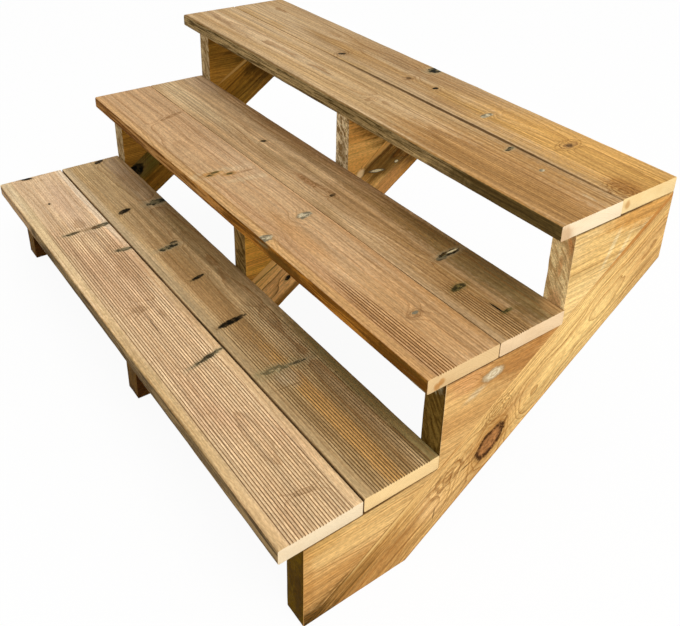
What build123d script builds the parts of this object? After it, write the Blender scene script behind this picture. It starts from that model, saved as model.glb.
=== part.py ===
"""Three-step open-riser deck stairs in softwood, millimetres.

X runs along the treads, the front of the stairs faces -Y, and +Z is up. The
origin is on the plumb back cut of the middle stringer, where the stairs are
fastened to a deck: half way up the cut and half way along the treads.
"""

import os
from math import atan2, cos, sin

from build123d import *

# Stairs
step_count = 3
rise = 170.0
going = 250.0
stair_width = 1250.0

# Tread boards
board_width = 145.0
board_thickness = 28.0
board_edge_radius = 3.5
board_gaps = (3.0, 1.0, 1.0)  # between the two boards of each tread, bottom up
back_board_shortfalls = (2.0, 0.0, 2.0)  # at the right-hand end, bottom up

# Reeding on the boards' upper faces
groove_count = 22
groove_pitch = 5.0
groove_mouth = 2.4
groove_floor = 1.2
groove_depth = 1.5

# Stringers
stringer_thickness = 45.0
diagonal_depth = 110.0
side_overhang = 2.0  # of the treads past the outer faces of the side stringers
middle_offset = 10.0  # of the middle stringer, from the middle of the treads

# Derived
pitch_angle = atan2(rise, going)
run = step_count * going
height_at_back = step_count * rise
foot_length = diagonal_depth / sin(pitch_angle)
back_cut_height = diagonal_depth / cos(pitch_angle)
toe_y = -run
ground_z = back_cut_height / 2 - height_at_back
side_stringer_x = (stair_width - stringer_thickness) / 2 - side_overhang
stringer_middles = {
    "left": -side_stringer_x,
    "middle": middle_offset,
    "right": side_stringer_x,
}


def at_stringer(middle_x):
    """Plane of a stringer's left face: local x runs back and local y runs up."""
    return Plane(
        origin=(middle_x - stringer_thickness / 2, toe_y, ground_z),
        x_dir=(0, 1, 0),
        z_dir=(1, 0, 0),
    )


def diagonal_board(middle_x):
    """Sloping board with a level foot cut and a plumb back cut."""
    with BuildPart() as board:
        with BuildSketch(at_stringer(middle_x)):
            with BuildLine():
                Polyline(
                    (0, 0),
                    (run, height_at_back),
                    (run, height_at_back - back_cut_height),
                    (foot_length, 0),
                    close=True,
                )
            make_face()
        extrude(amount=stringer_thickness)
    return board


def step_wedge(middle_x, step):
    """Right-angled block on the sloping board that holds one tread level."""
    front, back = (step - 1) * going, step * going
    bottom, top = (step - 1) * rise, step * rise
    with BuildPart() as wedge:
        with BuildSketch(at_stringer(middle_x)):
            with BuildLine():
                Polyline((front, bottom), (front, top), (back, top), close=True)
            make_face()
        extrude(amount=stringer_thickness)
    return wedge


def tread_board(back_edge_y, bottom_z, length):
    """Reeded decking board, its left-hand end flush with the stairs' side."""
    section = Plane(
        origin=(-stair_width / 2, back_edge_y - board_width / 2, bottom_z),
        x_dir=(0, 1, 0),
        z_dir=(1, 0, 0),
    )
    with BuildPart() as board:
        with BuildSketch(section):
            with Locations((0, board_thickness / 2)):
                RectangleRounded(board_width, board_thickness, board_edge_radius)
            with Locations((0, board_thickness)):
                with GridLocations(groove_pitch, 0, groove_count, 1):
                    with BuildLine(mode=Mode.PRIVATE) as groove:
                        Polyline(
                            (-groove_mouth / 2, 0),
                            (-groove_floor / 2, -groove_depth),
                            (groove_floor / 2, -groove_depth),
                            (groove_mouth / 2, 0),
                            close=True,
                        )
                    add(make_face(groove.line, mode=Mode.PRIVATE), mode=Mode.SUBTRACT)
        extrude(amount=length)
    return board


os.makedirs("parts", exist_ok=True)


def save(piece, name):
    """Label a finished piece and write it out."""
    piece.part.label = name
    export_step(piece.part, f"parts/{name}.step")


for side, middle_x in stringer_middles.items():
    save(diagonal_board(middle_x), f"stringer_{side}_diagonal")
    for step in range(1, step_count + 1):
        save(step_wedge(middle_x, step), f"stringer_{side}_wedge_{step}")

for step in range(1, step_count + 1):
    back_y = toe_y + step * going
    seat_z = ground_z + step * rise
    front_y = back_y - board_width - board_gaps[step - 1]
    back_length = stair_width - back_board_shortfalls[step - 1]
    save(tread_board(front_y, seat_z, stair_width), f"tread_{step}_front_board")
    save(tread_board(back_y, seat_z, back_length), f"tread_{step}_back_board")
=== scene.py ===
import math

import bmesh
import bpy
import numpy as np
from mathutils import Matrix, Vector


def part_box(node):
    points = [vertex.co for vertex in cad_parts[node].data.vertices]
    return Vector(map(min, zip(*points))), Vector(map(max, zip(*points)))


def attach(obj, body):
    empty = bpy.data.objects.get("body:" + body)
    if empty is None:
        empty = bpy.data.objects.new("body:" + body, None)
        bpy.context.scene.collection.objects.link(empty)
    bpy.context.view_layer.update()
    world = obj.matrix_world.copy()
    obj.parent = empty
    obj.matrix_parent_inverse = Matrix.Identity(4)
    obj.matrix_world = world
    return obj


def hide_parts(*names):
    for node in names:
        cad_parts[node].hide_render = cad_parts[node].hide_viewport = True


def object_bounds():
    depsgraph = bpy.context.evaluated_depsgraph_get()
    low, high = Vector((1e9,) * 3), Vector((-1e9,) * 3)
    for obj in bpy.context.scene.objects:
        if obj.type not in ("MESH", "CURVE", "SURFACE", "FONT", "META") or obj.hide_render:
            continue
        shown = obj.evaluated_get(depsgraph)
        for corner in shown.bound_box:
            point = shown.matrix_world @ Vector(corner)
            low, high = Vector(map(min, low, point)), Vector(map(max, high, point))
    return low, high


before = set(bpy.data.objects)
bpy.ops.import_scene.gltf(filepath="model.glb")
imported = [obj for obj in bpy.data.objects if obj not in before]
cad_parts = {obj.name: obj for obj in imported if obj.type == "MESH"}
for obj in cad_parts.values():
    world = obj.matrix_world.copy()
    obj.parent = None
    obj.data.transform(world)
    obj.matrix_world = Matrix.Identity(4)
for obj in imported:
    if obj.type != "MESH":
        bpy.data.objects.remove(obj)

cad_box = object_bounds()

# Sizes in metres, as in the part's source.
BOARD_WIDTH = 0.145
BOARD_THICKNESS = 0.028
EDGE_RADIUS = 0.0035
GROOVE_COUNT = 22
GROOVE_PITCH = 0.005
GROOVE_DEPTH = 0.0015
DIAGONAL_DEPTH = 0.110

MM = 0.001
X, Y, Z = Vector((1, 0, 0)), Vector((0, 1, 0)), Vector((0, 0, 1))

# From the middle of a board to the middle of its outermost groove.
REEDED_HALF = (GROOVE_COUNT - 1) / 2 * GROOVE_PITCH


def linear(colour):
    """Linear colour from display values of red, green and blue, 0 to 255."""
    shares = (value / 255 for value in colour)
    return (*(c / 12.92 if c <= 0.04045 else ((c + 0.055) / 1.055) ** 2.4 for c in shares), 1.0)


# -------------------- meshes

# Spacing of the sections along a decking board, and of the points round a sawn one.
SECTION_SPACING = 0.009
OUTLINE_SPACING = 0.007

# Wear of a decking board's corners and faces, and its finest part.
CORNER_WEAR, FACE_WEAR, FINE_WEAR = 0.5 * MM, 0.22 * MM, 0.12 * MM

# Depth of the splintered ends of decking, and size of a sawn board's corners.
END_CUT = 0.7 * MM
SAWN_CORNER = 1.2 * MM

# How deep a chipped knot sinks below the board's top, and its least width in mm.
PITS = {"spike": 0.5 * MM, "black": 0.35 * MM, "bud": 0.25 * MM}
NARROWEST_PIT = 14

# Half a groove's section: distance from its middle in mm, and share of its depth.
GROOVE_SIDE = ((1.2, 0), (0.95, 0.12), (0.65, 0.85), (0.45, 1))

# Worn arris: distance from the face, and inset, as shares of the wear there.
ARRIS_PROFILE = ((0.0, 1.0), (0.12, 0.55), (0.45, 0.15), (1.0, 0.0))


def smoothed(t):
    return t * t * (3 - 2 * t)


def ripple(rng, count, spacing, amount):
    """Smooth random curve of count values between 0 and amount."""
    knots = max(3, int(count / spacing) + 2)
    values = rng.random(knots) * amount
    at = np.linspace(0, knots - 1, count)
    left = np.clip(at.astype(int), 0, knots - 2)
    t = smoothed(at - left)
    return values[left] * (1 - t) + values[left + 1] * t


def inward(loop):
    """Unit normals that point into a closed loop of (y, z) points."""
    tangent = np.roll(loop, -1, 0) - np.roll(loop, 1, 0)
    normal = np.stack([-tangent[:, 1], tangent[:, 0]], 1)
    normal /= np.maximum(np.linalg.norm(normal, axis=1), 1e-9)[:, None]
    ahead = np.roll(loop, -1, 0)
    area = np.sum(loop[:, 0] * ahead[:, 1] - loop[:, 1] * ahead[:, 0])
    return normal if area > 0 else -normal


def lofted(name, sections):
    """Object through closed loops of equal length, with both ends capped."""
    stations, around, _ = sections.shape
    verts = sections.reshape(-1, 3)
    i, j = np.meshgrid(np.arange(stations - 1), np.arange(around), indexing="ij")
    k = (j + 1) % around
    here, ahead = i * around, (i + 1) * around
    quads = np.stack([here + j, here + k, ahead + k, ahead + j], -1).reshape(-1, 4)
    caps = [list(range(around)), list(range((stations - 1) * around, stations * around))]
    mesh = bpy.data.meshes.new(name)
    mesh.from_pydata(verts.tolist(), [], quads.tolist() + caps)
    made = bmesh.new()
    made.from_mesh(mesh)
    bmesh.ops.recalc_face_normals(made, faces=made.faces)
    made.to_mesh(mesh)
    made.free()
    mesh.shade_smooth()
    mesh.set_sharp_from_angle(angle=math.radians(32))
    return placed(name, mesh)


def placed(name, data):
    """Object of a mesh, a light or a camera, in the scene."""
    obj = bpy.data.objects.new(name, data)
    bpy.context.scene.collection.objects.link(obj)
    return obj


def arc(centre_y, centre_z, radius, start, end, steps):
    for a in np.linspace(math.radians(start), math.radians(end), steps):
        yield centre_y + radius * math.cos(a), centre_z + radius * math.sin(a)


def decking_loop(width, height, seam_radius):
    """Section of a reeded board, anticlockwise from its front bottom corner.

    Gives the points, which part of the section each belongs to, and how much
    of the groove depth each one sinks.
    """
    loop, parts, sinks = [], [], []

    def add(points, part, sunk=None):
        points = list(points)
        loop.extend(points)
        parts.extend([part] * len(points))
        sinks.extend(sunk or [0.0] * len(points))

    r, s = EDGE_RADIUS, seam_radius
    add(arc(r, r, r, 180, 270, 5), "corner_0")
    add([(y, 0) for y in np.linspace(2 * r, width - 2 * r, 9)], "under")
    add(arc(width - s, s, s, 270, 360, 4), "corner_1")
    add([(width, z) for z in np.linspace(2 * r, height - 2 * r, 4)], "back")
    add(arc(width - s, height - s, s, 0, 90, 5), "corner_2")
    groove = [*GROOVE_SIDE, *((-away, sunk) for away, sunk in reversed(GROOVE_SIDE))]
    for n in range(GROOVE_COUNT):
        middle = width / 2 + REEDED_HALF - n * GROOVE_PITCH
        points = [(middle + away * MM, height) for away, _ in groove]
        add(points, f"reed_{n}", [sunk for _, sunk in groove])
    add(arc(r, height - r, r, 90, 180, 6), "corner_3")
    add([(0, z) for z in np.linspace(height - 2 * r, 2 * r, 4)], "front")
    return np.array(loop), parts, np.array(sinks)


def decking(node, name, seed, look):
    """Reeded tread board with worn reeding and arrises, chipped round its knots."""
    rng = np.random.default_rng(seed)
    low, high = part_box(node)
    length, width, height = high - low
    loop, parts, sinks = decking_loop(width, height, look["seam"])
    normal = inward(loop)
    along = np.linspace(0, length, int(length / SECTION_SPACING) + 1)
    splintered = (0, 0.35 * END_CUT, END_CUT)
    along = np.concatenate([splintered, along[1:-1], [length - far for far in reversed(splintered)]])
    count = len(along)
    wear = {}
    for part in dict.fromkeys(parts):
        amount = CORNER_WEAR if part.startswith("corner") else FACE_WEAR
        wear[part] = ripple(rng, count, 4, amount) + ripple(rng, count, 1.2, FINE_WEAR)
    push = np.stack([wear[part] for part in parts], 1)
    at, y, z = along[:, None], loop[None, :, 0], loop[None, :, 1]
    base, spots = look["reeding"]
    depth = np.full(push.shape, base)
    for share, mid, across, reach, breadth in spots:
        d = np.hypot((at - mid * MM) * 2 / (reach * MM), (y - across * MM) * 2 / (breadth * MM))
        outside = smoothed(np.clip((d - 0.7) / (1.2 - 0.7), 0, 1))
        depth = np.maximum(depth, base + (share - base) * (1 - outside))
    for kind, mid, across, reach, breadth, turn in look["knots"]:
        pit = PITS.get(kind, 0.0)
        cos, sin = math.cos(math.radians(turn)), math.sin(math.radians(turn))
        du, dv = at - mid * MM, y - across * MM
        a = (du * cos + dv * sin) * 2 / (reach * MM)
        b = (dv * cos - du * sin) * 2 / (max(breadth, NARROWEST_PIT) * MM)
        near = np.exp(-a * a - b * b)
        push = push + (z > height - 1 * MM) * pit * near * (0.3 + rng.random(push.shape))
        if pit:
            depth = depth * (1 - look["chipped"] * near)
    splinter = ripple(rng, len(loop), 2, 0.6 * MM) + 0.3 * MM
    for station, share in ((0, 1.0), (1, 0.3), (count - 2, 0.3), (count - 1, 1.0)):
        push[station] += share * splinter
    y = np.clip(loop[:, 0] + push * normal[:, 0], 0, width)
    z = np.clip(loop[:, 1] + push * normal[:, 1] - sinks * depth * GROOVE_DEPTH, 0, height)
    x = np.broadcast_to(at, y.shape)
    return lofted(name, np.stack([low.x + x, low.y + y, low.z + z], -1))


def outline(corners, wear):
    """Points round a cut outline with small corners, and how worn each one is."""
    radius = SAWN_CORNER
    points, shares = [], []
    for n, corner in enumerate(corners):
        here, ahead = np.array(corner), np.array(corners[(n + 1) % len(corners)])
        behind = np.array(corners[n - 1])
        out = (ahead - here) / np.linalg.norm(ahead - here)
        back = (behind - here) / np.linalg.norm(behind - here)
        points += [here + back * radius, here + (back + out) * radius * 0.25]
        shares += [wear[n - 1], max(wear[n - 1], wear[n])]
        inner = np.linalg.norm(ahead - here) - 2 * radius
        steps = max(2, round(inner / OUTLINE_SPACING))
        for step in range(steps):
            points.append(here + out * (radius + inner * step / steps))
            shares.append(wear[n])
    return np.array(points), np.array(shares)


def timber(node, name, corners, wear, seed):
    """Sawn board cut to an outline. wear is each edge's share of worn arris."""
    rng = np.random.default_rng(seed)
    low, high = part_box(node)
    thickness = high.x - low.x
    loop, share = outline(corners, wear)
    normal = inward(loop)
    around = len(loop)
    index = np.arange(around)
    worn = []
    for _ in range(2):
        c = 0.45 + ripple(rng, around, 5, 0.9) + ripple(rng, around, 1.5, 0.3)
        for _ in range(3):
            reach = np.abs(index - rng.integers(around))
            reach = np.minimum(reach, around - reach)
            c = c + rng.uniform(0.6, 1.6) * np.exp(-((reach / rng.uniform(1.0, 3.0)) ** 2))
        c = (np.roll(c, 1) + c + np.roll(c, -1)) / 3
        worn.append(c * share * MM)
    stations = [depth * worn[0] for depth, _ in ARRIS_PROFILE]
    pushes = [inset * worn[0] for _, inset in ARRIS_PROFILE]
    for part in (0.25, 0.4, 0.6, 0.75):
        stations.append(np.full(around, part * thickness))
        pushes.append(ripple(rng, around, 4, 0.2 * MM) * share)
    stations += [thickness - depth * worn[1] for depth, _ in reversed(ARRIS_PROFILE)]
    pushes += [inset * worn[1] for _, inset in reversed(ARRIS_PROFILE)]
    push = np.stack(pushes)
    y = np.clip(loop[None, :, 0] + push * normal[None, :, 0], low.y, high.y)
    z = np.clip(loop[None, :, 1] + push * normal[None, :, 1], low.z, high.z)
    return lofted(name, np.stack([low.x + np.stack(stations), y, z], -1))


# -------------------- shaders


class Graph:
    """Short calls for the nodes of a material or a world."""

    def __init__(self, owner):
        self.owner = owner
        owner.use_nodes = True
        self.tree = owner.node_tree
        self.tree.nodes.clear()

    def node(self, kind, inputs=None, **settings):
        made = self.tree.nodes.new(kind)
        for key, value in settings.items():
            setattr(made, key, value)
        for key, value in (inputs or {}).items():
            if isinstance(value, bpy.types.NodeSocket):
                self.tree.links.new(value, made.inputs[key])
            else:
                made.inputs[key].default_value = value
        return made

    def math(self, operation, a, b=0.0, c=0.0):
        return self.node("ShaderNodeMath", {0: a, 1: b, 2: c}, operation=operation).outputs[0]

    def add(self, *terms):
        total = terms[0]
        for term in terms[1:]:
            total = self.math("ADD", total, term)
        return total

    def mul(self, a, b):
        return self.math("MULTIPLY", a, b)

    def least(self, *distances):
        smallest = distances[0]
        for distance in distances[1:]:
            smallest = self.math("MINIMUM", smallest, distance)
        return smallest

    def vector(self, operation, a, b=(0, 0, 0), c=(0, 0, 0)):
        made = self.node("ShaderNodeVectorMath", {0: a, 1: b, 2: c}, operation=operation)
        return made.outputs["Value" if operation in ("DOT_PRODUCT", "LENGTH") else 0]

    def grey(self, value):
        return self.node("ShaderNodeCombineXYZ", {0: value, 1: value, 2: value}).outputs[0]

    def ramp(self, value, low, high, bottom=0.0, top=1.0):
        inputs = {0: value, 1: low, 2: high, 3: bottom, 4: top}
        return self.node("ShaderNodeMapRange", inputs, interpolation_type="SMOOTHSTEP").outputs[0]

    def fade(self, value, low, high, share=1.0):
        """share up to low, and nothing past high."""
        return self.ramp(value, low, high, share, 0.0)

    def pulse(self, value, start, full, still, gone):
        """Rises from start to full and falls from still to gone."""
        return self.mul(self.ramp(value, start, full), self.fade(value, still, gone))

    def gain(self, share, low, high):
        """share of 0 to 1 as a factor from low to high."""
        return self.math("MULTIPLY_ADD", share, high - low, low)

    def swing(self, share, amount):
        """share of 0 to 1 as a factor of 1, give or take an amount."""
        return self.gain(share, 1 - amount, 1 + amount)

    def mix(self, share, a, b, blend="MIX"):
        """Mix of two colours, each an output or display values."""
        a, b = (linear(value) if isinstance(value, tuple) else value for value in (a, b))
        made = self.node("ShaderNodeMix", {0: share, 6: a, 7: b}, data_type="RGBA", blend_type=blend)
        return made.outputs[2]

    def seen(self):
        """1 for rays from the camera and off a glossy face, 0 for the rest."""
        path = self.node("ShaderNodeLightPath")
        return self.math("MAXIMUM", path.outputs["Is Camera Ray"], path.outputs["Is Glossy Ray"])


class Wood(Graph):
    """Softwood material, with u along the grain, v across it and w through the board.

    Every pattern is a function of the place in the board, so faces, edges and
    ends join up as in real timber. look is an entry of the tables below. The
    numbers in the layers are scales and thresholds of noises.
    """

    def __init__(self, name, origin, axes, look, seed):
        super().__init__(bpy.data.materials.new(name))
        self.axes, self.look, self.seed = axes, look, seed
        local = self.vector("SUBTRACT", self.node("ShaderNodeTexCoord").outputs["Object"], origin)
        self.u, self.v, self.w = (self.vector("DOT_PRODUCT", local, axis) for axis in axes)
        self.place = self.node("ShaderNodeCombineXYZ", {0: self.u, 1: self.v, 2: self.w}).outputs[0]
        self.normal = self.node("ShaderNodeNewGeometry").outputs["True Normal"]

        # Noises that more than one layer uses, and the tone they give together.
        self.ragged = self.centred((70, 110, 30), 0, detail=4.0, roughness=0.7)
        self.patchy = self.noise((120, 60, 40), 1, detail=3.0, roughness=0.6)
        self.fibre = self.varied((9, 800, 800), 2, detail=3.0, roughness=0.6)
        self.streak = self.varied((1.3, 85, 85), 3, detail=4.0, roughness=0.62)
        self.cloud = self.noise((4.5, 11, 11), 6, detail=3.0, roughness=0.6)
        self.grain = self.varied((4, 230, 230), 13, detail=3.0, roughness=0.6)
        grit = self.varied((140, 420, 420), 14, detail=2.0)
        coarse = self.mul(self.swing(self.streak, look["streak"]), self.swing(self.fibre, 0.08))
        small = self.mul(self.swing(self.grain, look["grain"]), self.swing(grit, 0.14))
        self.tone = self.grey(self.mul(coarse, small))

        # Knots of one kind share one distance field.
        self.fields = {}
        for kind, *oval in look["knots"]:
            known = [self.fields[kind]] if kind in self.fields else []
            self.fields[kind] = self.least(*known, self.oval(*oval))
        self.late, self.line = self.rings()

    def noise(self, scales, offset, output=0, place=None, **settings):
        """Noise of about 0 to 1 on a place in metres, scaled along each axis."""
        place = self.place if place is None else place
        seed = self.seed + offset
        at = self.vector("MULTIPLY_ADD", place, scales, (seed * 3.1, seed * 5.3, seed * 7.9))
        inputs = {"Vector": at, "Scale": 1.0, "Detail": 2.0, "Roughness": 0.5}
        inputs.update({key.capitalize(): value for key, value in settings.items()})
        return self.node("ShaderNodeTexNoise", inputs).outputs[output]

    def centred(self, scales, offset, **settings):
        """Noise about 0."""
        return self.math("SUBTRACT", self.noise(scales, offset, **settings), 0.5)

    def varied(self, scales, offset, **settings):
        """Noise stretched to fill 0 to 1."""
        return self.ramp(self.noise(scales, offset, **settings), 0.33, 0.67)

    def facing(self, axis):
        return self.math("ABSOLUTE", self.vector("DOT_PRODUCT", self.normal, axis))

    def distance(self, middle, scales):
        """Distance from a place, in units of their own along each axis."""
        from_middle = self.vector("SUBTRACT", self.place, middle)
        return self.vector("LENGTH", self.vector("MULTIPLY", from_middle, scales))

    def oval(self, along, across, length, width, turn=0):
        """Distance from the middle of an oval on the board's face, 1 at its rim."""
        length, width = length * MM, width * MM
        cos, sin = math.cos(math.radians(turn)), math.sin(math.radians(turn))
        from_middle = self.vector("SUBTRACT", self.place, (along * MM, across * MM, 0))
        a = self.vector("DOT_PRODUCT", from_middle, (2 * cos / length, 2 * sin / length, 0))
        b = self.vector("DOT_PRODUCT", from_middle, (-2 * sin / width, 2 * cos / width, 0))
        return self.math("SQRT", self.add(self.mul(a, a), self.mul(b, b)))

    def rings(self):
        """Shares of late wood and of its dark line, in rings round a pith.

        The pith wanders along the board, and the rings swell at the knots.
        """
        look = self.look
        sway = self.noise((look["bend"], 3.5, 3.5), 5, output=1, detail=2.0)
        sway = self.vector("SUBTRACT", sway, (0.5, 0.5, 0.5))
        sway = self.vector("MULTIPLY", sway, (0, 2 * look["sway"], 2 * look["sway"]))
        from_pith = self.vector("SUBTRACT", self.vector("ADD", self.place, sway), (0, *look["pith"]))
        radius = self.vector("LENGTH", self.vector("MULTIPLY", from_pith, (0, 1, 1)))
        if self.fields:
            nearest = self.least(*self.fields.values())
            swell = self.math("POWER", math.e, self.mul(self.mul(nearest, nearest), -look["spread"]))
            radius = self.math("MULTIPLY_ADD", swell, look["lift"], radius)
        fine = self.centred((18, 60, 60), 9, detail=3.0)
        count = self.mul(self.math("MULTIPLY_ADD", fine, look["wiggle"], radius), 1 / look["ring"])
        phase = self.math("FRACT", count)
        number = self.add(self.math("FLOOR", count), self.seed)
        strength = self.node("ShaderNodeTexWhiteNoise", {"W": number}, noise_dimensions="1D")
        strength = strength.outputs["Value"]
        late = self.pulse(phase, look["early_share"], 0.88, 0.91, 1.0)
        late = self.mul(self.mul(late, self.gain(strength, 0.25, 1.0)), self.gain(self.grain, 0.7, 1.0))
        line = self.pulse(phase, 0.74, 0.92, 0.94, 1.0)
        return late, self.mul(line, self.ramp(strength, 0.2, 0.9, 0.2, 1.0))

    def clear_wood(self):
        """Bands and clouds of colour, stains and painted shade, growth lines, resin and creases."""
        look = self.look
        band = self.noise((0.8, 26, 26), 4, detail=2.0)
        resin = self.noise((0.55, 190, 190), 7, detail=2.0)
        crease = self.math("ABSOLUTE", self.centred((1.2, 60, 60), 8, detail=3.0, roughness=0.55))
        crease = self.mul(self.fade(crease, 0.006, 0.032), self.ramp(self.cloud, 0.38, 0.62, 0.25, 1.0))
        body = self.mix(self.ramp(band, 0.36, 0.66), look["early"], look["band"])
        body = self.mix(self.ramp(self.cloud, 0.48, 0.74, 0.0, 0.6), body, look["cloud"])
        streaked = self.math("MULTIPLY_ADD", self.streak, 0.4, -0.2)
        for tint, share, *oval in look["stains"]:
            d = self.add(self.oval(*oval), self.mul(self.ragged, 0.9), streaked)
            body = self.mix(self.fade(d, 0.45, 1.35, share), body, tint)
        body = self.mix(self.mul(self.late, look["contrast"]), body, look["late"])
        body = self.mix(self.mul(self.line, look["line"]), body, look["line_colour"])
        body = self.mix(self.ramp(resin, 0.57, 0.66, 0.0, look["resin"]), body, look["late"])
        body = self.mix(self.mul(crease, look["crease"]), body, look["line_colour"])
        for *oval, count in look["eddies"]:
            d = self.math("MULTIPLY_ADD", self.ragged, 0.7, self.oval(*oval))
            arcs = self.pulse(self.math("FRACT", self.mul(d, count)), 0.35, 0.7, 0.8, 1.0)
            arcs = self.mul(arcs, self.fade(d, 0.6, 1.25, look["eddy"]))
            body = self.mix(arcs, body, look["line_colour"])
        return self.mix(1.0, body, self.tone, "MULTIPLY")

    def cracked_and_shaded(self, body):
        """Cracks, dark joints, and painted shade in board seams and under the treads."""
        for tint, share, *oval in self.look["cracks"]:
            d = self.add(self.oval(*oval), self.mul(self.ragged, 0.5))
            body = self.mix(self.fade(d, 0.5, 1.2, share), body, tint)
        return body

    def reeded(self, body):
        """Painted ridge highlight over dirtier or worn grooves, and how deep in a groove a place is."""
        dark, pale, share = self.look["groove"]
        sunk = self.math("SUBTRACT", BOARD_THICKNESS, self.w)
        from_middle = self.math("ABSOLUTE", self.math("SUBTRACT", self.v, BOARD_WIDTH / 2))
        grooved = self.fade(from_middle, REEDED_HALF + 1.0 * MM, REEDED_HALF + 2.5 * MM)
        ridge = self.mul(grooved, self.fade(sunk, 0.3 * MM, 0.9 * MM))
        deep = self.mul(self.ramp(sunk, 0.25 * MM, 1.1 * MM), grooved)
        # The ridges get a painted highlight that makes up for the shade in the grooves.
        body = self.mix(self.mul(ridge, self.look["ridge"]), body, RIDGE_HIGHLIGHT)
        body = self.mix(self.mul(deep, 0.4), body, pale)
        dirt = self.mul(self.gain(self.cloud, 0.6, 1.2), share)
        return self.mix(self.mul(deep, dirt), body, dark), deep

    def knotted(self, body, shown):
        """Halo, then the ringed core, its rim and ragged dark patches.

        Gives the patches as well, which show only as far as shown says.
        """
        marks = 0.0
        for kind, d in self.fields.items():
            core, dark, halo, rough, shares = KNOTS[kind]
            core_share, patch_share, rim_share, halo_share = shares
            d = self.math("MULTIPLY_ADD", self.ragged, rough, d)
            body = self.mix(self.fade(d, 0.8, 2.2, halo_share), body, halo)
            ringed = self.ramp(self.math("FRACT", self.mul(d, 2.6)), 0.35, 0.9, 0.0, 0.45)
            body = self.mix(self.fade(d, 0.75, 1.1, core_share), body, self.mix(ringed, core, dark))
            rim = self.pulse(d, 0.60, 0.85, 0.95, 1.2)
            rim = self.mul(rim, self.ramp(self.patchy, 0.35, 0.5, 0.5 * rim_share, rim_share))
            black = self.mul(self.ramp(self.patchy, 0.44, 0.51), self.fade(d, 0.85, 1.15, patch_share))
            black = self.mul(black, shown)
            body = self.mix(self.math("MAXIMUM", rim, black), body, dark)
            marks = self.math("MAXIMUM", marks, black)
        return body, marks

    def ended(self, body, relief):
        """Saw-cut ends: paler, with the rings as arcs and faint saw lines."""
        look = self.look
        end = self.ramp(self.facing(self.axes[0]), 0.75, 0.92)
        saw = self.noise((60, 90, 900), 10, detail=2.0)
        speck = self.noise((600, 600, 600), 11, detail=2.0)
        cut = self.mix(self.mul(self.late, look["end_contrast"]), look["end"], look["end_late"])
        cut = self.mix(self.ramp(self.cloud, 0.45, 0.75, 0.0, 0.4), cut, look["end_late"])
        tone = self.grey(self.mul(self.swing(speck, 0.12), self.swing(saw, 0.06)))
        cut = self.mix(1.0, cut, tone, "MULTIPLY")
        for tint, share, across, through, size in look["end_stains"]:
            scale = 2 / (size * MM)
            d = self.distance((0, across * MM, through * MM), (0, scale, scale))
            cut = self.mix(self.fade(self.add(d, self.ragged), 0.4, 1.2, share), cut, tint)
        relief = self.mul(relief, self.math("SUBTRACT", 1.0, end))
        return self.mix(end, body, cut), self.add(relief, self.mul(saw, end))

    def fronted(self, body):
        """Front edge or riser face with colours of its own."""
        pale, dark, scales, slant, stains = self.look["front"]

        def on_front(first, second):
            """Vector in the front: along and up a tread, or up and across a riser."""
            return (first, 0, second) if self.axes[0] == X else (0, first, second)

        face = self.ramp(self.vector("DOT_PRODUCT", self.normal, -Y), 0.72, 0.92)
        cos, sin = math.cos(math.radians(slant)), math.sin(math.radians(slant))
        a = self.vector("DOT_PRODUCT", self.place, (0, cos, sin))
        b = self.vector("DOT_PRODUCT", self.place, (0, -sin, cos))
        turned = self.node("ShaderNodeCombineXYZ", {0: self.u, 1: a, 2: b}).outputs[0]
        lines = self.noise(scales, 12, place=turned, detail=4.0, roughness=0.68, distortion=0.9)
        skin = pale
        for tint, share, first, second, length, height in stains:
            sizes = on_front(2 / (length * MM), 2 / (height * MM))
            d = self.distance(on_front(first * MM, second * MM), sizes)
            skin = self.mix(self.fade(self.add(d, self.ragged), 0.45, 1.35, share), skin, tint)
        skin = self.mix(self.ramp(lines, 0.40, 0.60), skin, dark)
        return self.mix(face, body, self.mix(1.0, skin, self.tone, "MULTIPLY"))

    def rubbed_and_highlit(self, body):
        """Paler arrises where the normal turns from the face to an edge: wear and a painted highlight."""
        to_edge = self.math("MAXIMUM", self.facing(self.axes[0]), self.facing(self.axes[1]))
        arris = self.mul(self.ramp(to_edge, 0.2, 0.5), self.ramp(self.facing(self.axes[2]), 0.2, 0.5))
        return self.mix(self.mul(arris, self.gain(self.streak, 0.3, 0.9)), body, self.look["arris"])

    def material(self):
        """The finished material, layer by layer."""
        body = self.cracked_and_shaded(self.clear_wood())
        shown = 1.0
        if "groove" in self.look:
            body, deep = self.reeded(body)
            shown = self.gain(deep, 1 - self.look["dotted"], 1.0)
        body, marks = self.knotted(body, shown)
        fibres = self.add(self.mul(self.fibre, 0.5), self.mul(self.late, 0.2), self.mul(self.streak, 0.3))
        relief = self.add(fibres, self.mul(marks, -0.4))
        body, relief = self.ended(body, relief)
        if "front" in self.look:
            body = self.fronted(body)
        if "arris" in self.look:
            body = self.rubbed_and_highlit(body)
        bump = self.node("ShaderNodeBump", {"Height": relief, "Strength": 0.5, "Distance": 0.35 * MM})
        shader = self.node("ShaderNodeBsdfPrincipled", {
            "Base Color": body,
            "Roughness": self.gain(self.fibre, 0.60, 0.80),
            "Specular IOR Level": self.look["sheen"],
            "Normal": bump.outputs[0],
        })
        self.node("ShaderNodeOutputMaterial", {"Surface": shader.outputs[0]})
        return self.owner


# -------------------- looks

# All colours are display values of red, green and blue, 0 to 255.

# Tints: copper green and grey from the treatment, dirt, resin, a pale red, the dark of cracks and
# joints, also used as painted shade in seams and under the treads, and a painted ridge highlight.
GREEN = (150, 142, 102)
PALE = (214, 196, 158)
OLIVE = (66, 48, 12)
ORANGE = (180, 118, 46)
ROSE = (206, 158, 124)
CRACK_AND_SHADE = (70, 44, 16)
RIDGE_HIGHLIGHT = (250, 226, 180)

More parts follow.
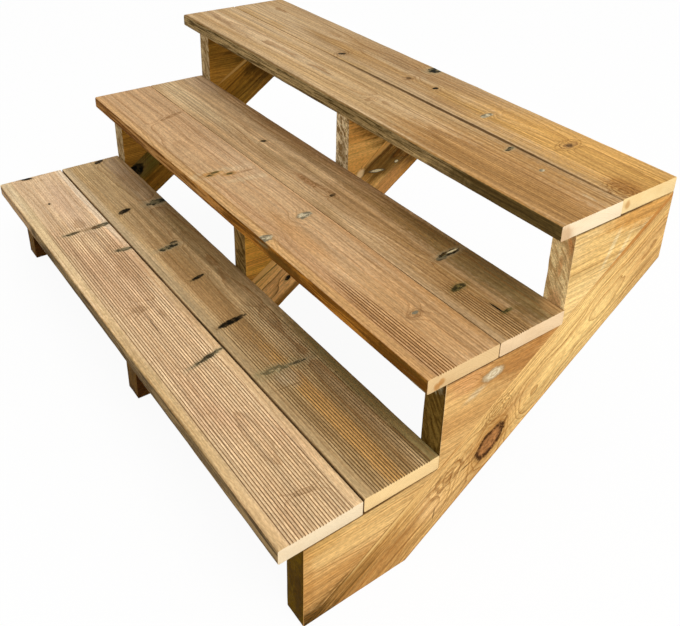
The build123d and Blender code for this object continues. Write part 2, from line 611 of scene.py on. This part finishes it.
# Each kind of knot: core, dark marks and halo, then how ragged it is, then how
# much of each shows: core, black patches, rim and halo.
KNOTS = {
    "moss": ((104, 96, 52), (26, 22, 12), (110, 96, 50), 1.3, (0.7, 0.75, 0.4, 0.5)),
    "spike": ((108, 102, 72), (18, 18, 12), (160, 146, 112), 1.7, (0.75, 0.95, 0.2, 0.5)),
    "graze": ((178, 164, 122), (66, 60, 34), (160, 142, 100), 1.6, (0.5, 0.75, 0.2, 0.4)),
    "black": ((40, 32, 18), (14, 12, 6), (138, 110, 68), 1.1, (0.9, 1.0, 0.7, 0.35)),
    "bud": ((212, 204, 172), (48, 42, 26), (184, 148, 100), 1.6, (0.75, 0.65, 0.15, 0.35)),
    "faint": ((176, 132, 86), (112, 76, 38), (190, 150, 106), 1.5, (0.1, 0.4, 0.3, 0.15)),
    "oval": ((226, 212, 178), (146, 110, 64), (180, 128, 68), 1.0, (0.9, 0.0, 0.6, 0.5)),
    "heart": ((182, 124, 72), (70, 42, 16), (172, 118, 54), 0.9, (0.95, 0.3, 1.0, 0.6)),
    "pale": ((240, 226, 180), (60, 44, 18), (120, 88, 36), 0.6, (1.0, 0.0, 0.8, 0.4)),
}

# arris: colour of the arrises, worn paler and with a painted highlight.
# A place is in millimetres on its board: along the grain from its left or lower
# end, across from its front or lower edge, then length, width and the turn of
# the length from the grain in degrees, if any.
#
# early, band, cloud, late, line_colour: colours of the wood. end, end_late: of its ends.
# pith: across and through, in metres. sway, bend: how far and how often it wanders.
# ring: width of a growth ring. wiggle: how unevenly it runs.
# early_share: how much of a ring comes before its late wood.
# contrast, line, crease, resin: strength of late wood, its edge, creases and resin.
# streak, grain: how far they swing the tone. sheen: the specular level.
# spread, lift: how tightly the rings swell round a knot, and by how much.
# knots: kind and place. stains, cracks: tint, share and place; some of them are painted shade.
# eddies: place of a figure like that round a hidden knot, and its number of
# rings. eddy: its strength.
# end_stains: tint, share, then across, through and size.
# front: pale and dark of the face, scales and slant of its noise, then stains, some of them
# painted shade: tint, share, along and up a tread or up and across a riser, length and height.
#
# Decking only:
# seam: radius of the back corners. ridge: how much of the painted highlight the ridges get.
# reeding: share of the groove depth that is left, then spots where more is left:
# share, along, across, length and width.
# groove: dirt, the paler worn groove, and how much of the dirt shows.
# chipped: share of the groove depth lost round a knot.
# dotted: share of a knot's black that is missing on the ridges.
DECKING = dict(
    sway=0.012, bend=2.4, ring=0.0038, wiggle=0.002, early_share=0.25,
    contrast=0.4, line=0.3, crease=0.26, resin=0.3, streak=0.12, grain=0.14,
    sheen=0.03, spread=0.3, lift=0.008, line_colour=(118, 76, 32),
    end_contrast=0.35, stains=(), cracks=(), end_stains=(), knots=(), eddies=(), eddy=0.7,
    seam=2.2 * MM, ridge=0.0, chipped=0.8, dotted=0.0,
)
TREADS = {
    "tread_1_front_board": dict(
        DECKING, early=(240, 208, 164), band=(230, 195, 152), cloud=(226, 180, 142), late=(186, 142, 98),
        end=(236, 216, 182), end_late=(224, 196, 154), pith=(0.085, -0.075), crease=0.25, streak=0.10,
        ridge=0.06, chipped=0.4, dotted=0.3,
        front=((146, 120, 80), (88, 68, 40), (6, 40, 130), 0, (
            ((186, 150, 112), 0.6, 90, 14, 320, 60), (OLIVE, 0.8, 240, 16, 40, 16),
            (OLIVE, 0.9, 330, 10, 90, 18), (OLIVE, 0.6, 640, 6, 420, 12),
        )),
        groove=((122, 76, 36), (206, 166, 122), 0.5), reeding=(0.2, ((0.95, 950, 70, 1350, 300),)),
        stains=(
            ((208, 178, 142), 0.8, 60, 80, 420, 260), ((204, 172, 150), 0.3, 200, 100, 380, 80),
            ((220, 194, 148), 0.9, 180, 8, 800, 32), ((238, 216, 178), 0.5, 50, 6, 260, 28),
            ((191, 161, 112), 0.85, 960, 6, 1000, 30), ((180, 146, 98), 0.5, 1230, 5, 180, 26),
            ((150, 118, 72), 0.8, 625, 0, 1700, 7), ((246, 224, 192), 0.85, 160, 141, 660, 24),
            ((206, 172, 124), 0.6, 900, 141, 1000, 26), ((220, 188, 142), 0.5, 1180, 80, 300, 220),
            (ROSE, 0.35, 540, 75, 280, 90), (ROSE, 0.2, 440, 60, 120, 60),
            ((180, 130, 88), 0.35, 470, 120, 200, 60),
        ),
        cracks=((CRACK_AND_SHADE, 0.9, 700, 72, 80, 2, 358),),
        knots=(
            ("black", 5, 60, 26, 12, 75), ("black", 155, 65, 9, 6, 0), ("spike", 310, 62, 36, 10, 92),
            ("spike", 310, 125, 52, 13, 95), ("faint", 310, 95, 46, 9, 90),
            ("spike", 430, 130, 38, 12, 80), ("faint", 645, 70, 30, 20, 90),
            ("spike", 840, 112, 66, 10, 105), ("faint", 1185, 85, 34, 10, 80),
        ),
    ),
    "tread_1_back_board": dict(
        DECKING, early=(202, 172, 126), band=(182, 152, 108), cloud=(170, 144, 99), late=(132, 96, 54),
        end=(238, 206, 150), end_late=(206, 162, 100), pith=(0.110, -0.045), contrast=0.45, line=0.4,
        streak=0.09, chipped=0.5, dotted=0.1,
        front=((150, 120, 80), (96, 78, 50), (6, 40, 130), 0, ()),
        groove=((84, 58, 24), (172, 136, 88), 0.8),
        reeding=(0.2, ((0.65, 1130, 36, 760, 110), (1.0, 1130, 104, 760, 150))),
        stains=(
            ((206, 182, 144), 0.8, 260, 6, 1000, 28), ((186, 160, 118), 0.7, 900, 6, 900, 28),
            ((200, 168, 120), 0.5, 1090, 26, 500, 40), ((150, 114, 60), 0.4, 1130, 92, 400, 34),
            ((168, 132, 80), 0.4, 1130, 40, 360, 30), ((122, 106, 60), 0.85, 1080, 136, 560, 42),
            (GREEN, 0.4, 940, 70, 150, 40, 88), ((174, 132, 80), 0.6, 640, 50, 460, 50),
            ((150, 118, 80), 0.4, 350, 78, 320, 54), ((190, 164, 130), 0.5, 50, 116, 140, 46),
            ((134, 108, 66), 0.7, 500, 130, 520, 70), ((116, 94, 62), 0.4, 320, 139, 440, 22),
            ((156, 132, 114), 0.3, 170, 112, 340, 50), ((146, 116, 74), 0.6, 560, 76, 460, 56),
            ((214, 162, 92), 0.8, 1120, 62, 480, 34), ((158, 132, 96), 0.6, 1030, 104, 420, 22),
            ((186, 166, 132), 0.7, 960, 50, 60, 44),
        ),
        cracks=(((120, 88, 48), 0.6, 985, 40, 70, 3, 84),),
        knots=(
            ("black", 10, 90, 28, 12, 120), ("black", 280, 45, 34, 15, 110),
            ("spike", 280, 125, 50, 22, 88), ("spike", 475, 60, 46, 14, 95),
            ("black", 462, 78, 18, 8, 95), ("black", 272, 136, 20, 9, 92),
            ("black", 610, 60, 34, 9, 105), ("black", 775, 45, 60, 14, 98),
            ("graze", 935, 42, 52, 16, 84), ("spike", 940, 82, 40, 7, 84),
        ),
    ),
    "tread_2_front_board": dict(
        DECKING, early=(202, 168, 126), band=(190, 150, 108), cloud=(202, 163, 122), late=(152, 106, 58),
        end=(223, 190, 140), end_late=(202, 162, 110), pith=(0.060, -0.060), streak=0.09, grain=0.12,
        seam=1.2 * MM,
        front=((180, 120, 44), (102, 62, 14), (5, 30, 100), 0, (
            ((172, 130, 78), 0.8, 300, 14, 760, 50), (GREEN, 0.9, 795, 24, 50, 20),
            (OLIVE, 0.8, 860, 12, 160, 22), (OLIVE, 0.8, 1200, 12, 180, 40),
            ((176, 168, 128), 0.8, 1222, 7, 56, 12),
        )),
        groove=((92, 56, 22), (204, 162, 112), 0.75),
        reeding=(0.08, ((1.0, 1290, 36, 640, 46), (0.3, 1230, 90, 420, 100))),
        stains=(
            ((216, 174, 116), 0.7, 625, 8, 1600, 24), ((196, 150, 96), 0.5, 1130, 8, 640, 26),
            ((180, 134, 84), 0.5, 1000, 140, 600, 20), ((156, 118, 72), 0.5, 1190, 139, 260, 24),
            (PALE, 0.6, 520, 60, 130, 30, 86), ((214, 188, 158), 0.35, 300, 112, 700, 70),
            (PALE, 0.35, 575, 95, 100, 20, 80), ((198, 162, 120), 0.8, 200, 80, 620, 150),
            ((190, 138, 74), 0.8, 521, 46, 60, 26, 86), ((186, 136, 76), 0.7, 538, 76, 40, 18, 86),
            ((184, 134, 78), 0.5, 830, 60, 260, 40), ((188, 142, 86), 0.5, 1130, 86, 360, 150),
        ),
        cracks=(((128, 86, 44), 0.55, 625, 19, 1900, 2),),
        eddies=((1120, 85, 36, 26, 98, 3), (205, 105, 70, 16, 110, 2)),
        end_stains=((ORANGE, 0.75, 19, 7, 16), (ORANGE, 0.7, 28, 12, 14)),
        knots=(
            ("faint", 205, 105, 66, 9, 110), ("moss", 517, 54, 17, 7, 92), ("moss", 524, 38, 14, 6, 88),
            ("moss", 538, 76, 14, 7, 85), ("faint", 545, 110, 34, 8, 85), ("bud", 765, 110, 34, 20, 100),
            ("bud", 795, 6, 36, 22, 90), ("faint", 1120, 85, 32, 20, 98), ("bud", 1117, 88, 13, 7, 98),
        ),
    ),
    "tread_2_back_board": dict(
        DECKING, early=(206, 176, 134), band=(190, 157, 114), cloud=(168, 138, 94), late=(130, 90, 48),
        end=(232, 202, 162), end_late=(214, 178, 134), pith=(0.085, -0.055), contrast=0.45, line=0.4,
        grain=0.16, seam=1.2 * MM,
        front=((150, 110, 60), (96, 70, 34), (6, 40, 130), 0, ()),
        groove=((80, 50, 20), (188, 148, 100), 0.7), reeding=(0.12, ((0.9, 1250, 30, 340, 66),)),
        stains=(
            ((94, 78, 34), 0.8, 1110, 124, 580, 92), ((134, 98, 56), 0.5, 500, 140, 900, 26),
            ((160, 122, 72), 0.7, 1130, 40, 500, 60), ((146, 112, 68), 0.6, 420, 124, 440, 44),
            ((160, 122, 72), 0.5, 830, 80, 300, 80), ((220, 196, 154), 0.7, 150, 36, 340, 60),
            ((206, 178, 146), 0.5, 40, 120, 170, 60), ((200, 158, 104), 0.6, 1238, 136, 60, 40),
            ((96, 72, 30), 0.5, 1222, 90, 70, 50), ((150, 112, 56), 0.4, 780, 116, 640, 50),
            ((130, 96, 44), 0.35, 1070, 78, 420, 44), ((170, 120, 74), 0.45, 650, 47, 80, 18),
        ),
        cracks=(((206, 170, 120), 0.6, 1085, 64, 190, 4), ((206, 170, 120), 0.5, 1000, 56, 60, 4, 12)),
        eddies=((650, 47, 70, 18, 0, 3), (725, 56, 60, 16, 0, 2)),
        knots=(
            ("black", 440, 70, 13, 9, 60), ("faint", 700, 57, 66, 10, 5), ("faint", 650, 47, 44, 10, 8),
            ("black", 730, 55, 16, 8, 105), ("spike", 1018, 106, 50, 13, 92),
            # The pale line at 1016 mm is a painted highlight along the dark knot.
            ("black", 1022, 84, 26, 12, 97), ("pale", 1016, 114, 34, 5, 92),
            ("moss", 1105, 48, 30, 14, 95), ("black", 1107, 39, 17, 9, 95),
            ("black", 1186, 59, 36, 4, 2), ("moss", 1197, 69, 20, 6, 95),
        ),
    ),
    "tread_3_front_board": dict(
        DECKING, early=(203, 174, 134), band=(186, 154, 109), cloud=(184, 152, 107), late=(138, 96, 50),
        end=(244, 224, 190), end_late=(230, 200, 158), pith=(0.070, -0.070), streak=0.14, grain=0.18,
        front=((164, 138, 92), (78, 60, 28), (10, 50, 220), 0, (
            ((80, 62, 24), 0.9, 1180, 14, 420, 60), ((118, 96, 52), 0.4, 760, 20, 260, 20),
        )),
        groove=((110, 72, 34), (196, 156, 106), 0.35), reeding=(0.10, ((0.35, 1100, 50, 600, 90),)),
        stains=(
            (PALE, 0.6, 1210, 105, 34, 10, 5), ((212, 184, 146), 0.6, 200, 70, 700, 60),
            ((112, 84, 44), 0.9, 625, 0, 1700, 14), ((172, 126, 70), 0.8, 1090, 50, 580, 190),
        ),
        # The dark line along the back edge is painted shade in the seam between the boards.
        cracks=((CRACK_AND_SHADE, 0.9, 840, 145, 940, 11),), end_stains=((ORANGE, 0.5, 9, 8, 44),),
        knots=(
            ("spike", 1015, 130, 22, 9, 100), ("bud", 1105, 115, 12, 8, 90),
            ("faint", 700, 60, 24, 14, 90),
        ),
    ),
    "tread_3_back_board": dict(
        DECKING, early=(191, 162, 122), band=(175, 140, 93), cloud=(183, 144, 86), late=(130, 86, 40),
        end=(240, 212, 156), end_late=(224, 184, 120), pith=(0.090, -0.060), streak=0.14, grain=0.18,
        front=((150, 116, 70), (100, 76, 42), (6, 40, 130), 0, ()),
        groove=((110, 72, 34), (200, 156, 102), 0.3), reeding=(0.10, ()),
        stains=(
            ((214, 164, 88), 0.8, 1130, 90, 640, 170), ((140, 88, 36), 0.6, 1225, 40, 90, 50),
            ((160, 124, 80), 0.6, 620, 112, 560, 64), ((148, 112, 68), 0.35, 805, 26, 130, 44),
            ((176, 146, 104), 0.4, 240, 116, 460, 40), ((206, 182, 146), 0.6, 110, 50, 320, 70),
        ),
        # The dark line along the front edge is painted shade in the seam between the boards.
        cracks=((CRACK_AND_SHADE, 0.85, 840, 0, 940, 10),),
        eddies=((1228, 24, 80, 60, 0, 4), (450, 27, 60, 34, 100, 3), (1062, 85, 70, 36, 95, 3)),
        end_stains=((ORANGE, 0.6, 14, 14, 18),),
        knots=(
            ("black", 450, 25, 17, 10, 60), ("spike", 645, 135, 38, 26, 90),
            ("black", 650, 55, 13, 10, 0), ("faint", 650, 55, 34, 22, 100),
            ("black", 725, 65, 13, 9, 85), ("bud", 885, 55, 36, 14, 92), ("black", 1065, 85, 15, 10, 93),
            ("faint", 1065, 85, 26, 13, 93),
        ),
    ),
}

TIMBER = dict(
    early=(228, 190, 128), band=(210, 166, 104), cloud=(202, 154, 94),
    late=(164, 112, 54), line_colour=(128, 80, 30), arris=(240, 206, 152),
    sway=0.014, bend=4.5, ring=0.0042, wiggle=0.0035, early_share=0.3,
    contrast=0.6, line=0.7, crease=0.4, resin=0.4, streak=0.09, grain=0.12,
    sheen=0.02, spread=0.3, lift=0.022,
    end=(150, 112, 58), end_late=(104, 74, 34), end_contrast=0.6,
    stains=(), cracks=(), end_stains=(), knots=(), eddies=(), eddy=0.6,
)
MIDDLE_TIMBER = dict(
    TIMBER,
    early=(226, 168, 84), band=(210, 148, 66), cloud=(178, 126, 54),
    late=(146, 92, 30), line_colour=(84, 48, 12), arris=(190, 146, 78),
)
LEFT_TIMBER = dict(
    TIMBER,
    early=(186, 134, 52), band=(162, 114, 38), cloud=(112, 88, 28),
    late=(96, 60, 14), line_colour=(58, 34, 6), arris=(150, 112, 56),
)
# Feet of the inner stringers, under tread 1: a darker copy of the left timber, as painted shade.
FOOT_TIMBER = dict(
    LEFT_TIMBER,
    early=(84, 50, 18), band=(68, 40, 12), cloud=(54, 32, 8),
    late=(44, 24, 6), arris=(110, 74, 34),
)

# Their front faces, darkened the same way as painted shade.
RISER_FOOT = ((104, 74, 30), (66, 44, 12), (50, 14, 60), 0, (
    ((58, 34, 8), 0.7, 120, 22, 60, 60),
))
RISER_OLIVE = ((94, 68, 0), (76, 52, 0), (50, 14, 60), 0, (
    ((58, 34, 0), 0.7, 60, 32, 110, 26),
))
RISER_PATCHED = ((120, 94, 42), (84, 60, 18), (50, 90, 22), 60, (
    ((60, 36, 8), 0.8, 156, 38, 34, 22), ((204, 196, 156), 0.95, 150, 16, 30, 40),
    ((60, 36, 8), 0.6, 90, 44, 200, 7),
))
RISER_BEIGE = ((236, 208, 150), (182, 146, 94), (60, 120, 30), 55, (
    ((188, 116, 52), 0.8, 148, 38, 64, 18), ((196, 124, 60), 0.65, 100, 24, 44, 9),
    ((196, 132, 82), 0.6, 35, 24, 44, 26), ((120, 84, 40), 0.6, 125, 42, 90, 7),
    # The stain 168 mm up is painted shadow under the nosing of tread 3.
    ((120, 84, 40), 0.6, 168, 22, 26, 60),
))
RISER_MOTTLED = ((148, 120, 70), (86, 64, 26), (50, 70, 30), 40, (
    ((66, 44, 16), 0.8, 158, 20, 26, 50), ((168, 158, 124), 0.8, 130, 16, 20, 30),
))
RISER_TAN = ((244, 224, 180), (140, 112, 70), (60, 120, 60), 50, (
    ((120, 92, 48), 0.6, 60, 26, 60, 24), ((236, 214, 160), 0.8, 130, 36, 90, 10),
))
RISER_GREY = ((198, 174, 130), (132, 104, 62), (60, 100, 40), 50, (
    ((110, 84, 44), 0.4, 90, 26, 90, 24),
))

# Shade under the tread above, along the top edge of every wedge.
TREAD_SHADE = ((CRACK_AND_SHADE, 0.9, 60, 171, 420, 13), (CRACK_AND_SHADE, 0.5, 125, 171, 900, 6))

WEDGES = {
    "right_1": dict(
        TIMBER, arris=(206, 156, 92), pith=(-0.050, 0.060), ring=0.006, line=0.5, front=RISER_OLIVE,
        stains=(
            ((224, 184, 118), 0.85, 70, 142, 420, 80, -7), ((200, 150, 86), 0.75, 80, 55, 400, 100, -5),
            ((200, 154, 84), 0.6, 16, 160, 100, 50), ((186, 134, 70), 0.5, 4, 90, 32, 160),
            (OLIVE, 0.95, 0, 0, 120, 60, 34),
        ),
        cracks=(((150, 102, 50), 0.6, 75, 98, 190, 3, -7), ((104, 72, 28), 0.6, 45, 38, 120, 7, 31)),
    ),
    "right_2": dict(
        TIMBER, early=(222, 180, 116), band=(204, 156, 94), pith=(-0.030, 0.070), contrast=0.35,
        line=0.35, crease=0.25, streak=0.06, spread=0.25, front=RISER_PATCHED,
        stains=(
            (PALE, 0.6, 68, 120, 54, 15, 20), ((206, 148, 96), 0.6, 50, 150, 110, 50),
            ((176, 116, 56), 0.6, 210, 160, 90, 24, 8), ((168, 114, 58), 0.85, 160, 140, 180, 66),
        ),
        knots=(("oval", 100, 140, 46, 22, 5),),
    ),
    "right_3": dict(
        TIMBER, early=(238, 202, 136), band=(230, 190, 120), cloud=(238, 210, 158), pith=(0.020, 0.090),
        ring=0.007, contrast=0.22, line=0.3, crease=0.3, front=RISER_BEIGE,
        stains=(
            ((244, 226, 178), 0.5, 100, 110, 90, 10, 64), ((244, 226, 178), 0.4, 130, 95, 80, 10, 60),
            ((184, 126, 60), 0.6, 225, 150, 70, 8, 34), ((206, 148, 74), 0.85, 186, 156, 220, 48),
        ),
    ),
    "middle_1": dict(FOOT_TIMBER, pith=(-0.050, 0.060), front=RISER_FOOT),
    "middle_2": dict(
        MIDDLE_TIMBER, early=(246, 184, 76), pith=(-0.040, 0.055), contrast=0.4, front=RISER_MOTTLED,
        stains=(((120, 92, 26), 0.7, 35, 150, 60, 36),),
    ),
    "middle_3": dict(
        MIDDLE_TIMBER, early=(250, 198, 112), band=(232, 172, 88), cloud=(214, 158, 78),
        pith=(0.030, 0.080), ring=0.006, contrast=0.1, line=0.1, crease=0.1, resin=0.1, streak=0.05,
        grain=0.07, front=RISER_TAN,
        # This dark stain is painted shade under tread 3.
        stains=(((90, 64, 16), 0.9, 80, 122, 230, 100, -38),),
    ),
    "left_1": dict(FOOT_TIMBER, pith=(-0.050, 0.060), front=RISER_FOOT),
    "left_2": dict(LEFT_TIMBER, pith=(-0.030, 0.070), front=RISER_GREY),
    "left_3": dict(
        LEFT_TIMBER, pith=(0.020, 0.090), front=RISER_GREY,
        # Its dark stain is painted shade under tread 3.
        stains=(((60, 42, 10), 0.75, 80, 122, 220, 84, -38),),
    ),
}

DIAGONALS = {
    "right": dict(
        TIMBER, early=(232, 190, 120), pith=(0.045, -0.030), sway=0.016, bend=6.0, ring=0.0028,
        contrast=0.55, line=0.6, lift=0.03,
        stains=(
            ((172, 122, 62), 0.75, 100, 60, 270, 130), ((128, 90, 38), 0.5, 90, 104, 300, 20),
            ((124, 86, 34), 0.5, 92, 84, 110, 26), (OLIVE, 0.95, 0, 100, 120, 70),
            ((224, 180, 124), 0.85, 257, 54, 70, 60, 60), ((250, 214, 140), 0.75, 640, 60, 300, 110),
            ((184, 118, 50), 0.75, 850, 109, 300, 16), ((236, 194, 124), 0.7, 470, 100, 260, 60),
            ((240, 198, 130), 0.6, 300, 60, 150, 90),
        ),
        cracks=(
            ((104, 72, 28), 0.75, 70, 108, 160, 6, -5), ((104, 72, 28), 0.6, 95, 81, 160, 5, -4),
            ((128, 90, 40), 0.5, 120, 96, 180, 3, -3), (CRACK_AND_SHADE, 0.8, 434, 47, 22, 6, 30),
            (CRACK_AND_SHADE, 0.8, 336, 47, 40, 4, -15), (CRACK_AND_SHADE, 0.6, 246, 28, 30, 4, 50),
            ((238, 198, 128), 0.7, 190, 104, 220, 7),
        ),
        eddies=((435, 85, 80, 56, 0, 5), (306, 70, 110, 60, 4, 3)),
        knots=(("heart", 390, 40, 74, 38, 8),),
    ),
    "middle": dict(
        MIDDLE_TIMBER, early=(255, 206, 122), pith=(0.050, -0.025), spread=0.25, lift=0.02,
        stains=(
            ((60, 34, 10), 0.95, 60, 60, 360, 200), ((255, 200, 128), 0.8, 370, 45, 180, 80),
            # The dark stains at 698 and 782 mm along are painted shade under tread 3.
            ((120, 84, 28), 0.7, 330, 8, 260, 20), ((98, 72, 24), 0.85, 698, 64, 140, 70, -25),
            ((66, 44, 12), 0.85, 782, 64, 130, 150), ((226, 166, 100), 0.7, 670, 20, 120, 40),
        ),
        cracks=(
            ((240, 190, 112), 0.9, 348, 103, 150, 11, -5), (CRACK_AND_SHADE, 0.75, 348, 94, 160, 4, -5),
            ((255, 222, 166), 1.0, 636, 97, 28, 18, 20), ((226, 172, 96), 0.7, 705, 101, 120, 10, -3),
            (CRACK_AND_SHADE, 0.6, 705, 91, 130, 3, -3),
        ),
        knots=(
            ("black", 375, 40, 16, 10, 0), ("pale", 671, 69, 46, 8, -42), ("pale", 721, 45, 12, 7, -30),
        ),
    ),
    "left": dict(
        LEFT_TIMBER, pith=(0.055, -0.020),
        stains=(
            ((60, 34, 10), 0.95, 60, 60, 360, 200), ((96, 90, 36), 0.85, 350, 84, 150, 80),
            # The darkest stain, 786 mm along, is painted shade under tread 3.
            ((120, 80, 18), 0.6, 350, 30, 300, 60), ((48, 30, 6), 0.85, 786, 60, 170, 160),
        ),
        cracks=(((206, 164, 92), 0.8, 705, 103, 160, 9, -3),), knots=(("black", 322, 92, 46, 34, 0),),
    ),
}

# -------------------- pieces

# Share of worn arris on each edge of an outline, in the order of its corners.
WEDGE_WEAR = {"front": 1.0, "top": 0.5, "joint": 0.15}
DIAGONAL_WEAR = {"joint": 0.15, "back cut": 0.8, "underside": 1.0, "foot cut": 0.8}


def finish_piece(obj, node, material):
    obj.data.materials.append(material)
    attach(obj, "root")
    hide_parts(node)


def dress_tread(node, look, mesh_seed, wood_seed):
    low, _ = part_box(node)
    obj = decking(node, node.replace("_board", "_decking"), mesh_seed, look)
    wood = Wood("wood_" + node, low, (X, Y, Z), look, wood_seed)
    finish_piece(obj, node, wood.material())


def dress_wedge(side, step, look, mesh_seed, wood_seed):
    node = f"stringer_{side}_wedge_{step}"
    low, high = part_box(node)
    corners = ((low.y, low.z), (low.y, high.z), (high.y, high.z))
    wear = tuple(WEDGE_WEAR.values())
    obj = timber(node, f"{side}_wedge_{step}_timber", corners, wear, mesh_seed)
    look = dict(look, cracks=(*look["cracks"], *TREAD_SHADE))
    wood = Wood("wood_" + node, low, (Y, Z, X), look, wood_seed)
    finish_piece(obj, node, wood.material())


def dress_diagonal(side, look, mesh_seed, wood_seed):
    node = f"stringer_{side}_diagonal"
    low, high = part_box(node)
    slope = math.atan2(high.z - low.z, high.y - low.y)
    foot = DIAGONAL_DEPTH / math.sin(slope)
    cut = DIAGONAL_DEPTH / math.cos(slope)
    corners = ((low.y, low.z), (high.y, high.z), (high.y, high.z - cut), (low.y + foot, low.z))
    wear = tuple(DIAGONAL_WEAR.values())
    obj = timber(node, f"{side}_diagonal_timber", corners, wear, mesh_seed)
    along = Vector((0, math.cos(slope), math.sin(slope)))
    across = Vector((0, -math.sin(slope), math.cos(slope)))
    wood = Wood("wood_" + node, low - across * DIAGONAL_DEPTH, (along, across, X), look, wood_seed)
    finish_piece(obj, node, wood.material())


# Each piece has a seed of its own for its mesh and for its material.
for n, (node, look) in enumerate(TREADS.items()):
    dress_tread(node, look, 11 + n, 1.7 + n)
for n, (key, look) in enumerate(WEDGES.items()):
    dress_wedge(*key.split("_"), look, 31 + n, 3.3 + n)
for n, (side, look) in enumerate(DIAGONALS.items()):
    dress_diagonal(side, look, 51 + n, 7.9 + n)

# -------------------- stage, light and camera

# Half the floor's side, and how much of it is plain white to the camera.
FLOOR_HALF = 12.0
FLOOR_GLOW = 0.94

# Strength of the sky as light. To the camera it is plain white.
SKY = 0.72
WHITE = (1.0, 1.0, 1.0, 1.0)

# The camera as fitted to the photograph.
EYE = (1.2833, -1.1853, 0.7242)
AZIMUTH, ELEVATION, ROLL = math.radians(51.69), math.radians(27.34), math.radians(2.30)
LENS = 44.18
SHIFT = (-0.0403, -0.2051)


def floor_material():
    g = Graph(bpy.data.materials.new("studio_floor"))
    matt = g.node("ShaderNodeBsdfDiffuse", {"Color": (0.86, 0.86, 0.85, 1.0)})
    white = g.node("ShaderNodeEmission", {"Color": WHITE, "Strength": 1.0})
    share = g.mul(g.seen(), FLOOR_GLOW)
    both = g.node("ShaderNodeMixShader", {0: share, 1: matt.outputs[0], 2: white.outputs[0]})
    g.node("ShaderNodeOutputMaterial", {"Surface": both.outputs[0]})
    return g.owner


def floor_mesh(ground):
    mesh = bpy.data.meshes.new("floor")
    corners = ((-1, -1), (1, -1), (1, 1), (-1, 1))
    verts = [(FLOOR_HALF * x, FLOOR_HALF * y, ground) for x, y in corners]
    mesh.from_pydata(verts, [], [(0, 1, 2, 3)])
    mesh.materials.append(floor_material())
    return mesh


def sky():
    g = Graph(bpy.data.worlds.new("studio"))
    strength = g.gain(g.seen(), SKY, 1.0)
    background = g.node("ShaderNodeBackground", {"Color": WHITE, "Strength": strength})
    g.node("ShaderNodeOutputWorld", {"Surface": background.outputs[0]})
    return g.owner


def softbox(name, place, target, size, watts, tint):
    data = bpy.data.lights.new(name, "AREA")
    data.shape = "DISK"
    data.size = size
    data.energy = watts
    data.color = tint
    lamp = placed(name, data)
    lamp.location = place
    lamp.rotation_euler = (Vector(target) - Vector(place)).to_track_quat("-Z", "Y").to_euler()


def photo_camera():
    data = bpy.data.cameras.new("camera")
    data.sensor_fit = "HORIZONTAL"
    data.sensor_width = 36.0
    data.lens = LENS
    data.shift_x, data.shift_y = SHIFT
    data.clip_start = 0.05
    data.clip_end = 100.0
    back = Vector((
        math.sin(AZIMUTH) * math.cos(ELEVATION),
        -math.cos(AZIMUTH) * math.cos(ELEVATION),
        math.sin(ELEVATION),
    ))
    level = (-back).cross(Z).normalized()
    upright = level.cross(-back)
    right = level * math.cos(ROLL) + upright * math.sin(ROLL)
    up = upright * math.cos(ROLL) - level * math.sin(ROLL)
    turn = Matrix((right, up, back)).transposed().to_4x4()
    camera = placed("camera", data)
    camera.matrix_world = Matrix.Translation(EYE) @ turn
    return camera


floor = placed("floor", floor_mesh(ground=cad_box[0][2]))
softbox("key_light", place=(5.0, -0.9, 6.5), target=(0.0, -0.4, -0.2), size=5.0, watts=370.0,
        tint=(1.0, 0.97, 0.93))
bpy.context.scene.world = sky()
bpy.context.scene.camera = photo_camera()
bpy.context.scene.view_settings.view_transform = "Standard"
